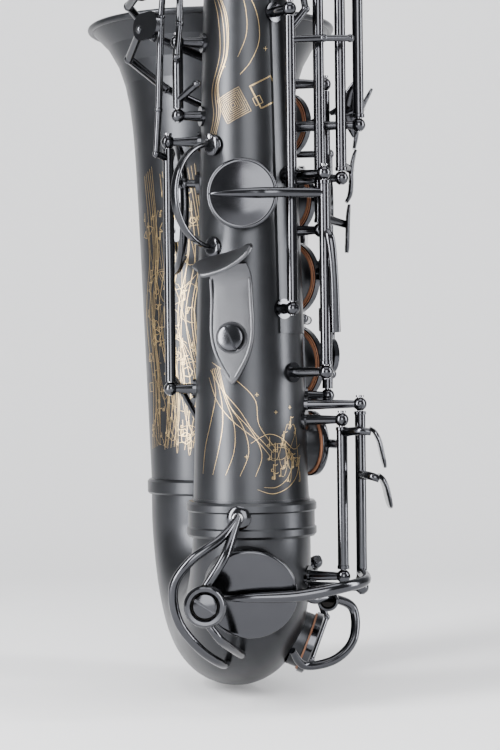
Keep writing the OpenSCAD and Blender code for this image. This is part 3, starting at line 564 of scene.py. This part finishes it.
def engrave_bell():
    rng = random.Random(19)
    bm = bmesh.new()
    fine = 0.10 * MM
    for column in range(4):
        s = -30 + 13 * column
        sheaf(bm, on_bell, bell_normal, [(s, 30), (s + 4, 62), (s - 2, 96), (s + 5, 130), (s + 2, 168)],
              [(s + 9, 32), (s + 10, 60), (s + 7, 98), (s + 12, 128), (s + 9, 172)], 5, fine, 3)
    circuit(bm, on_bell, bell_normal, rng, -30, 24, 28, 150, 90, fine)
    for i in range(46):
        s, z = rng.uniform(-30, 24), rng.uniform(28, 165)
        polygon(bm, on_bell, bell_normal, s, z, rng.uniform(0.8, 3.4), rng.uniform(0, 1.6), fine,
                corners=3 + i % 4, steps=4)
    add_mesh("engraving_bell", bm, "root", MATERIALS["engraving"], smooth=False)


engrave_body()
engrave_bell()


# ---------- fittings that are shaped rather than turned ----------
def strip_along(bm, stations, across, sides=28, steps=8, power=0.45):
    """Skins a rounded strip along (point, half width, half thickness); its width lies along across."""
    flat = [(*p, w, h) for p, w, h in stations]
    path = spline(flat, steps)
    pts = [Vector(s[:3]) for s in path]
    rings = []
    for i, s in enumerate(path):
        tangent = (pts[min(i + 1, len(pts) - 1)] - pts[max(i - 1, 0)]).normalized()
        side = (across - tangent * across.dot(tangent)).normalized()
        normal = side.cross(tangent).normalized()
        ring = []
        for k in range(sides):
            a = 2 * math.pi * k / sides
            c, sn = math.cos(a), math.sin(a)
            ring.append(bm.verts.new(pts[i] + side * math.copysign(abs(c) ** power, c) * s[3]
                                     + normal * math.copysign(abs(sn) ** power, sn) * s[4]))
        rings.append(ring)
    rings_to_faces(bm, rings)


def slotted_head(bm, matrix, r, height, turn, slot=1.1 * MM):
    """Screw head with a rounded edge and a slot left between two halves."""
    for sign in (-1, 1):
        rings = []
        for rad, h in ((r, 0.0), (r, height * 0.55), (r * 0.93, height * 0.86), (r * 0.72, height)):
            ring = []
            for k in range(25):
                a = math.pi * k / 24
                x, y = rad * math.cos(a), max(rad * math.sin(a), slot / 2)
                p = Vector((x, y * sign, h))
                ring.append(bm.verts.new(matrix @ Matrix.Rotation(turn, 4, "Z") @ p))
            rings.append(ring)
        rings_to_faces(bm, rings)
    disc(bm, [(r * 0.97, 0), (r * 0.97, height * 0.35)], matrix, 48)


HOOK_PHI = 152
HOOK_R = body_r(62 * MM)
LIP_DROOP = 0.75


def hook_point(out, side, z):
    a = math.radians(HOOK_PHI)
    radial = Vector((math.cos(a), math.sin(a), 0))
    tangent = Vector((-math.sin(a), math.cos(a), 0))
    return AXIS + radial * (HOOK_R + out * MM) + tangent * side * MM + Vector((0, 0, z * MM))


def make_thumb_hook():
    a = math.radians(HOOK_PHI)
    tangent = Vector((-math.sin(a), math.cos(a), 0))
    bm = bmesh.new()
    rows = (
        (1.1, 0, 63.2, 0.6, 0.7), (1.1, 0, 65, 2.4, 0.95), (1.1, 0, 70, 5.4, 1.0), (1.1, 0, 76, 8.3, 1.0),
        (1.1, 0, 83, 10.2, 1.0), (1.1, 0, 92, 10.6, 1.0), (1.2, 0, 101, 10.2, 1.0),
        (1.5, 0, 108, 10.0, 1.1),
        (3.2, 0, 113.5, 9.6, 1.1), (6.0, 0, 117.6, 8.6, 1.0),
    )
    strip_along(bm, [(hook_point(o, s, z), w * MM, h * MM) for o, s, z, w, h in rows], tangent)
    saddle = (
        (11.4, -13.4, 114.6, 2.6, 0.8), (11.0, -12.6, 115.0, 5.6, 1.1), (10.6, -9.6, 115.6, 7.6, 1.2),
        (10.4, -4.6, 116.6, 7.9, 1.2), (10.2, 1.0, 118.2, 7.4, 1.2), (10.2, 6.4, 120.6, 6.4, 1.2),
        (10.6, 10.8, 123.3, 4.4, 1.1), (11.0, 12.6, 124.8, 2.0, 0.8),
    )
    outward = Vector((math.cos(a), math.sin(a), -LIP_DROOP)).normalized()
    strip_along(bm, [(hook_point(o, s, z), w * MM, h * MM) for o, s, z, w, h in saddle], outward)
    obj = add_mesh("thumb_hook_shaped", bm, "root", MATERIALS["satin_nickel"])
    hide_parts("thumb_hook")
    bm = bmesh.new()
    for side in (-1, 1):
        strip_along(bm, [(hook_point(o, s * side, z), 0.55 * MM, 0.5 * MM) for o, s, z in
                         ((2.0, 1.5, 66), (2.2, 7.2, 76), (2.2, 9.6, 86), (2.3, 9.2, 100),
                          (3.6, 9.2, 110.5))],
                    tangent, sides=12)
    add_mesh("thumb_hook_bead", bm, "root", MATERIALS["satin_nickel"])
    bm = bmesh.new()
    matrix = facing(HOOK_PHI, HOOK_R + 2.0 * MM, 84 * MM)
    slotted_head(bm, matrix, 6.1 * MM, 2.6 * MM, math.radians(25))
    obj = add_mesh("thumb_hook_screw_shaped", bm, "root", MATERIALS["black_nickel"])
    bm = bmesh.new()
    lathe(bm, [(6.1 * MM, -0.2 * MM), (7.3 * MM, -0.2 * MM), (7.3 * MM, 0.4 * MM), (6.8 * MM, 0.8 * MM),
               (6.1 * MM, 0.5 * MM)], matrix)
    add_mesh("thumb_hook_washer", bm, "root", MATERIALS["satin_nickel"])
    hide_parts("thumb_hook_screw")


RING_PHI = 125
RING_R = 24.5 * MM


def make_strap_ring():
    a = math.radians(RING_PHI)
    out = Vector((math.cos(a), math.sin(a), 0))
    tangent = Vector((-math.sin(a), math.cos(a), 0))
    bm = bmesh.new()
    stations = []
    for i in range(17):
        t = math.radians(-90 + 180 * i / 16)
        r = RING_R - 1.1 * MM
        p = out * r * math.cos(t) + Vector((0, 0, r * math.sin(t)))
        wide = 1.5 + 0.5 * max(math.cos(t), 0) ** 0.6
        stations.append((p, wide * MM, 1.05 * MM))
    strip_along(bm, stations, tangent, power=0.6)
    for sign in (-1, 1):
        foot = Matrix((Vector((0, 0, -1)), tangent, out)).transposed().to_4x4()
        foot.translation = Vector((0, 0, sign * (RING_R - 1.1 * MM))) - out * 1.4 * MM
        disc(bm, [(5.0 * MM, 0), (5.0 * MM, 1.2 * MM), (4.5 * MM, 1.9 * MM), (2.8 * MM, 2.3 * MM)], foot,
             40)
    obj = add_mesh("strap_ring_shaped", bm, "root", MATERIALS["black_nickel"])
    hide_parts("strap_ring")
    bm = bmesh.new()
    top = Matrix((Vector((0, 0, -1)), tangent, out)).transposed().to_4x4()
    top.translation = Vector((0, 0, RING_R + 2.4 * MM)) + out * 0.3 * MM
    slotted_head(bm, top, 1.9 * MM, 2.2 * MM, 0.6, 0.5 * MM)
    add_mesh("strap_ring_screw", bm, "root", MATERIALS["steel"])


def rod(bm, points, r, ends=0.75):
    """Round bar that thins a little to its ends, through points seen from behind."""
    last = len(points) - 1
    stations = []
    for i, p in enumerate(points):
        t = i / last
        k = r * MM * (ends + (1 - ends) * math.sin(math.pi * t) ** 0.5 if 0 < i < last else ends)
        stations.append((from_back(*p), k, k))
    sweep(bm, stations, sides=20, steps=10)


def make_guards():
    bm = bmesh.new()
    rod(bm, [(-5.8, 31, 3.1), (-14, 40, -6), (-27, 44, -15), (-35, 42, -27), (-33, 40, -42.7),
             (-23.6, 34, -56),
             (-14, 18, -65), (-12, -4, -67)], 2.2)
    rod(bm, [(-5.8, 31, 3.1), (-12, 44, -13), (-21, 46, -27)], 2.2, 0.85)
    rod(bm, [(-20, 46, -43), (-14, 43, -51), (-6, 20, -60), (-5.4, 3, -63)], 2.0, 0.85)
    boss = facing(169.3, 0, -35 * MM)
    boss.translation = from_back(-21, 46, -35)
    lathe(bm, [(6.2 * MM, 1.0 * MM), (6.2 * MM, 4.2 * MM), (6.8 * MM, 4.9 * MM), (8.2 * MM, 5.0 * MM),
               (9.3 * MM, 4.0 * MM), (9.6 * MM, 2.4 * MM), (9.2 * MM, 0.4 * MM), (8.4 * MM, 0.0)], boss,
               72)
    foot = facing(158.3, 29.0 * MM, 2.5 * MM)
    disc(bm, [(5.5 * MM, 0.0), (5.5 * MM, 2.0 * MM), (4.6 * MM, 2.9 * MM), (2.5 * MM, 3.2 * MM)], foot,
         48)
    obj = add_mesh("low_C_guard_shaped", bm, "root", MATERIALS["black_nickel"])
    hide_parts("low_C_guard")
    bm = bmesh.new()
    slotted_head(bm, boss @ Matrix.Translation((0, 0, 1.4 * MM)), 5.6 * MM, 2.3 * MM, 1.0, 1.2 * MM)
    add_mesh("low_C_bumper_screw", bm, "root", MATERIALS["black_nickel"])
    bm = bmesh.new()
    slotted_head(bm, foot @ Matrix.Translation((0, 0, 2.8 * MM)), 2.6 * MM, 1.4 * MM, 0.3, 0.7 * MM)
    add_mesh("low_C_guard_screw", bm, "root", MATERIALS["steel"])
    bm = bmesh.new()
    rod(bm, [(18, 12, -60), (24, 4, -68), (38, 0, -66), (47, -4, -57), (47, -8, -43), (36, 2, -37),
             (28, 8, -37),
             (22, 12, -33)], 2.2)
    cap = facing(169.3, 0, 0)
    cap.translation = from_back(35, 2, -38)
    lathe(bm, [(3.2 * MM, 0.4 * MM), (3.2 * MM, 3.4 * MM), (3.8 * MM, 4.2 * MM), (4.8 * MM, 3.6 * MM),
               (5.1 * MM, 2.2 * MM), (4.8 * MM, 0.0)], cap, 48)
    obj = add_mesh("low_Cs_guard_shaped", bm, "root", MATERIALS["black_nickel"])
    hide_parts("low_Cs_guard")


make_thumb_hook()
make_strap_ring()
make_guards()


# ---------- keys nearest the viewer, shaped as forged and filed parts ----------
TUBE_R = 2.5 * MM
ROD_GAP = 1.35 * MM
LINES = {
    "side_E": (251, 52), "side_C": (242, 45), "side_Bb": (232, 37), "alt_Fs": (220, 44.5),
    "low_Eb": (243, 43.7),
    "low_C": (255, 51), "right": (270, 37), "left": (292, 31),
}
OPEN = {"low_C": 3.5, "right": -7.5, "left": -6.5}


def line_point(name, z):
    phi, rho = LINES[name]
    return round_body(phi, rho * MM, z * MM)


def swung(name):
    """Matrix that swings a key about its hinge line to where it rests."""
    p = line_point(name, 0)
    turn = Matrix.Rotation(math.radians(OPEN.get(name, 0)), 4, "Z")
    return Matrix.Translation(p) @ turn @ Matrix.Translation(-p)


def hinge_tube(bm, name, z0, z1):
    """Hinge tube with a slim collar at each end, bored for its rod."""
    m = Matrix.Translation(line_point(name, 0))
    a, b = z0 * MM, z1 * MM
    c = TUBE_R + 0.3 * MM
    lathe(bm, [(ROD_GAP, a), (TUBE_R, a), (c, a + 0.25 * MM), (c, a + 1.5 * MM), (TUBE_R, a + 1.8 * MM),
               (TUBE_R, b - 1.8 * MM), (c, b - 1.5 * MM), (c, b - 0.25 * MM), (TUBE_R, b), (ROD_GAP, b)],
               m, 40)


def cup(bm, matrix, r, rise=0.7):
    """Key cup: straight wall, rounded shoulder with a fine bead, softly domed top."""
    k = MM
    disc(bm, [((r - 0.8) * k, 0.85 * k), ((r - 0.1) * k, 0.85 * k), (r * k, 1.0 * k), (r * k, 3.5 * k),
              ((r - 0.15) * k, 3.9 * k), ((r - 0.55) * k, 4.2 * k), ((r - 1.1) * k, 4.3 * k),
              ((r - 1.5) * k, 4.15 * k),
              ((r - 1.9) * k, 4.2 * k), (r * 0.7 * k, (4.3 + rise * 0.5) * k),
              (r * 0.4 * k, (4.3 + rise * 0.85) * k),
              (r * 0.03 * k, (4.3 + rise) * k)], matrix, 80)


def arm(bm, points, widths, height=0.85, up=TO_VIEWER, steps=8):
    """Tapering oval arm; points are places, widths half widths in millimetres."""
    stations = [(p, w * MM, max(w * height, 0.3) * MM) for p, w in zip(points, widths)]
    sweep(bm, stations, up=up, sides=20, steps=steps)


def over(matrix, k, r, lift):
    """A point over a cup: k cup radii along its tangent, lift above its seat, all in millimetres."""
    return matrix @ Vector((0, k * r * MM, lift * MM))


def cup_seat(node):
    phi, z, r = HOLES[node]
    return facing(phi, body_r(z * MM) + CHIMNEY + CUP_GAP, z * MM), r


def horn(bm, rows, half_width=5.0):
    """Touch seen edge-on: rows of (right, near, height, half width, half thickness), all in millimetres."""
    strip_along(bm, [(from_back(u, d, z), w * MM, t * MM) for u, d, z, w, t in rows], TO_VIEWER, sides=28,
                power=0.7)


def key_piece(name, bm, node, slot="black_nickel"):
    obj = add_mesh(name, bm, node, MATERIALS[slot])
    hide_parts(node)
    return obj


def side_key(node, z0, z1, rows, foot):
    """Long side key: cup high on the body, tube, and a horn-shaped touch at the lower end."""
    seat, r = cup_seat(node)
    z = HOLES[node][1]
    bm = bmesh.new()
    hinge_tube(bm, node, z0, z1)
    cup(bm, seat, r)
    start = line_point(node, z)
    out = (start - AXIS)
    up = Vector((out.x, out.y, 0)).normalized()
    arm(bm, [start, over(seat, 1.0, r, 5.6), over(seat, 0.3, r, 5.7), over(seat, -0.75, r, 5.2)],
        (1.9, 2.2, 1.9, 0.5), up=up)
    arm(bm, [line_point(node, foot), from_back(*rows[2][:3])], (2.3, 1.7), steps=6)
    horn(bm, rows)
    key_piece(node + "_shaped", bm, node)


def make_side_keys():
    side_key("side_E", 185.3, 399.7, (
        (58.6, -7, 200.5, 2.5, 0.7), (57.0, -7, 197.5, 4.6, 1.0), (54.0, -7, 191.5, 5.2, 1.2),
        (52.0, -7, 184, 5.2, 1.2), (50.8, -7, 177, 4.8, 1.1), (50.0, -7, 172.5, 3.2, 0.8)), 189)
    side_key("side_C", 160.3, 334.7, (
        (50.6, -3, 171.5, 2.8, 0.7), (49.6, -3, 168.5, 4.8, 1.0), (48.4, -3, 162, 5.2, 1.1),
        (48.2, -3, 155.5, 5.2, 1.2), (47.6, -3, 150.5, 4.8, 1.2), (45.9, -3, 147.2, 3.0, 0.9)), 163)
    side_key("side_Bb", 136.3, 297.7, (
        (47.2, -2, 146, 2.8, 0.7), (46.8, -2, 142.5, 4.8, 1.0), (46.4, -2, 136.5, 5.2, 1.1),
        (46.2, -2, 130, 5.0, 1.1), (46.0, -2, 126, 4.2, 1.1), (45.8, -2, 123.5, 2.6, 0.9)), 139)
    bm = bmesh.new()
    arm(bm, [from_back(51.5, 6, 203), from_back(49, 3, 199), from_back(47.2, 0, 192),
             from_back(48.6, -3, 185),
             from_back(50.6, -5, 178)], (1.3, 2.2, 4.2, 3.2, 1.4), 0.32)
    arm(bm, [from_back(38.5, 3, 188), from_back(42.5, 2, 189.6), from_back(47.2, 0, 191.5),
             from_back(53, -3, 195.5)],
        (1.0, 2.0, 3.6, 1.8), 0.32)
    add_mesh("side_E_web", bm, "side_E", MATERIALS["black_nickel"])


def make_alt_Fs():
    seat, r = cup_seat("alt_Fs")
    bm = bmesh.new()
    hinge_tube(bm, "alt_Fs", 71.3, 154.7)
    cup(bm, seat, r, 1.3)
    arm(bm, [line_point("alt_Fs", 132), from_back(37, 32, 127), from_back(38.5, 31, 110),
             from_back(39, 28, 86)],
        (2.2, 2.1, 1.9, 2.3), 0.7)
    key_piece("alt_Fs_shaped", bm, "alt_Fs")
    bm = bmesh.new()
    arm(bm, [over(seat, -0.93, r, 4.5), over(seat, -0.75, r, 5.5), over(seat, -0.2, r, 6.3),
             over(seat, 0.45, r, 6.3),
             over(seat, 1.0, r, 5.8), line_point("alt_Fs", 149)], (0.2, 0.8, 1.8, 2.4, 2.3, 2.2), 0.9)
    add_mesh("alt_Fs_spine", bm, "alt_Fs", MATERIALS["black_nickel"])


def make_low_keys():
    seat, r = cup_seat("low_Eb")
    bm = bmesh.new()
    hinge_tube(bm, "low_Eb", -22.7, 42.7)
    cup(bm, seat, r)
    arm(bm, [line_point("low_Eb", 34.5), over(seat, -1.0, r, 5.6), over(seat, -0.2, r, 5.9),
             over(seat, 0.7, r, 5.2)],
        (2.0, 2.2, 1.8, 0.5), up=Vector((0, -1, 0)))
    arm(bm, [line_point("low_Eb", 40), from_back(49, 22, 41), from_back(54.5, 24, 40.5)], (2.2, 1.9, 1.6))
    horn(bm, ((54.0, 24, 42.4, 4.0, 0.8), (56.2, 24, 40.6, 8.0, 1.1), (58.2, 24, 36.5, 9.6, 1.1),
              (59.4, 24, 31, 9.8, 1.1), (60.4, 24, 26.5, 8.4, 1.0), (60.8, 24, 24.4, 5.0, 0.7)))
    key_piece("low_Eb_shaped", bm, "low_Eb")
    swing = swung("low_C")
    bm = bmesh.new()
    hinge_tube(bm, "low_C", -28.7, 49.7)
    a, phi, r = BOW_HOLES[0]
    seat = bow_frame(a, phi) @ Matrix.Translation((0, 0, bow_r(a) + CHIMNEY + CUP_GAP))
    cup(bm, seat, r, 1.4)
    arm(bm, [line_point("low_C", -25), from_back(50, 23, -27), from_back(37, 34, -29),
             from_back(18, 35.2, -32),
             from_back(0, 35.6, -32.5), from_back(-14, 33.8, -33), from_back(-19, 32.0, -33)],
        (2.4, 2.5, 2.6, 2.7, 2.2, 1.0, 0.25), 0.9)
    arm(bm, [line_point("low_C", 20), from_back(53, 22, 20.5), from_back(57, 24, 19)], (2.2, 1.9, 1.6))
    horn(bm, ((56.6, 24, 21.2, 4.0, 0.8), (58.2, 24, 19.4, 8.0, 1.1), (59.8, 24, 15.5, 9.4, 1.1),
              (60.8, 24, 11, 9.4, 1.1), (61.6, 24, 7.5, 7.6, 1.0), (61.9, 24, 6.0, 4.6, 0.7)))
    obj = key_piece("low_C_shaped", bm, "low_C")
    obj.data.transform(swing)


def make_open_pads():
    """Leather faces of the pads in the two stacks, which stand open at rest."""
    stacks = {"right": ("key_D", "key_E", "key_F", "key_Fs"),
              "left": ("key_G", "key_A", "key_bis", "key_B")}
    for stack, nodes in stacks.items():
        for node in nodes:
            seat, r = cup_seat(node)
            bm = bmesh.new()
            k = MM
            disc(bm, [(2.6 * k, -0.35 * k), (3.0 * k, -0.12 * k), ((r - 2.2) * k, -0.05 * k),
                      ((r - 1.0) * k, 0.0),
                      ((r - 0.72) * k, 0.25 * k), ((r - 0.7) * k, 0.78 * k)], swung(stack) @ seat, 56)
            add_mesh("leather_" + node, bm, node, MATERIALS["pad_leather"])


make_side_keys()
make_alt_Fs()
make_low_keys()
make_open_pads()


# ---------- floor, light and camera ----------
def clear_from_behind(material):
    """Shows the face that looks at the object only, so the backdrop never hides it from another side."""
    nodes = material.node_tree.nodes
    links = material.node_tree.links
    output = next(n for n in nodes if n.type == "OUTPUT_MATERIAL")
    front = output.inputs["Surface"].links[0].from_socket
    side = nodes.new("ShaderNodeNewGeometry")
    clear = nodes.new("ShaderNodeBsdfTransparent")
    mix = nodes.new("ShaderNodeMixShader")
    links.new(side.outputs["Backfacing"], mix.inputs[0])
    links.new(front, mix.inputs[1])
    links.new(clear.outputs[0], mix.inputs[2])
    links.new(mix.outputs[0], output.inputs["Surface"])


def make_floor():
    low = min(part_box(n)[0][2] for n in frame["nodes"])
    bm = bmesh.new()
    depth, width, rise, curve_r = 1.3, 5.0, 4.0, 0.7
    profile = [(-3.5, 0.0), (depth - curve_r, 0.0)]
    for i in range(1, 13):
        t = math.pi / 2 * i / 12
        profile.append((depth - curve_r + curve_r * math.sin(t), curve_r * (1 - math.cos(t))))
    profile.append((depth, rise))
    rows = []
    for away, up in profile:
        base = AXIS - TO_VIEWER * away
        rows.append([bm.verts.new(Vector((base.x, base.y, low - 2 * MM + up)) + TO_RIGHT * s * width)
                     for s in (-1, 1)])
    for a, b in zip(rows, rows[1:]):
        bm.faces.new((a[0], a[1], b[1], b[0]))
    mesh = bpy.data.meshes.new("floor")
    bm.to_mesh(mesh)
    bm.free()
    for poly in mesh.polygons:
        poly.use_smooth = True
    floor = bpy.data.objects.new("floor", mesh)
    bpy.context.scene.collection.objects.link(floor)
    paper = node_material("pale_paper", (0.74, 0.74, 0.75), 0.8, vary=0.01, bump=0.01)
    clear_from_behind(paper)
    floor.data.materials.append(paper)


def area_light(name, place, target, size, power, colour=(1, 1, 1)):
    data = bpy.data.lights.new(name, "AREA")
    data.shape = "RECTANGLE"
    data.size, data.size_y = size
    data.energy = power
    data.color = colour
    lamp = bpy.data.objects.new(name, data)
    bpy.context.scene.collection.objects.link(lamp)
    lamp.location = place
    lamp.rotation_euler = (target - place).to_track_quat("-Z", "Y").to_euler()


def studio():
    world = bpy.data.worlds.new("studio")
    bpy.context.scene.world = world
    world.use_nodes = True
    sky = world.node_tree.nodes["Background"]
    sky.inputs["Color"].default_value = (0.82, 0.84, 0.88, 1)
    sky.inputs["Strength"].default_value = 0.35
    middle = AXIS + Vector((0.05, 0, 0.1))

    def at(right, near, up):
        return middle + TO_RIGHT * right + TO_VIEWER * near + Vector((0, 0, up))
    area_light("strip_left", at(-0.75, 0.55, 0.15), middle, (0.28, 1.5), 48)
    area_light("strip_right", at(0.95, 0.25, 0.1), middle, (0.22, 1.5), 26)
    area_light("top", at(0.1, 0.3, 1.5), middle, (1.2, 1.2), 20)
    area_light("front", at(0.12, 1.6, 0.3), middle, (0.8, 1.0), 22)


CAMERA_DISTANCE = 0.927
CAMERA_HEIGHT = 67 * MM
CAMERA_ROLL = math.radians(-0.64)
CAMERA_LENS = 95.5


def make_camera():
    data = bpy.data.cameras.new("camera")
    data.lens = CAMERA_LENS
    data.sensor_width = 36
    data.clip_start = 0.05
    cam = bpy.data.objects.new("camera", data)
    bpy.context.scene.collection.objects.link(cam)
    back = TO_VIEWER
    right = Vector((0, 0, 1)).cross(back).normalized()
    m = Matrix((right, Vector((0, 0, 1)), back)).transposed().to_4x4()
    m = m @ Matrix.Rotation(CAMERA_ROLL, 4, "Z")
    m.translation = AXIS + TO_VIEWER * CAMERA_DISTANCE + Vector((0, 0, CAMERA_HEIGHT))
    cam.matrix_world = m
    bpy.context.scene.camera = cam


make_floor()
studio()
make_camera()
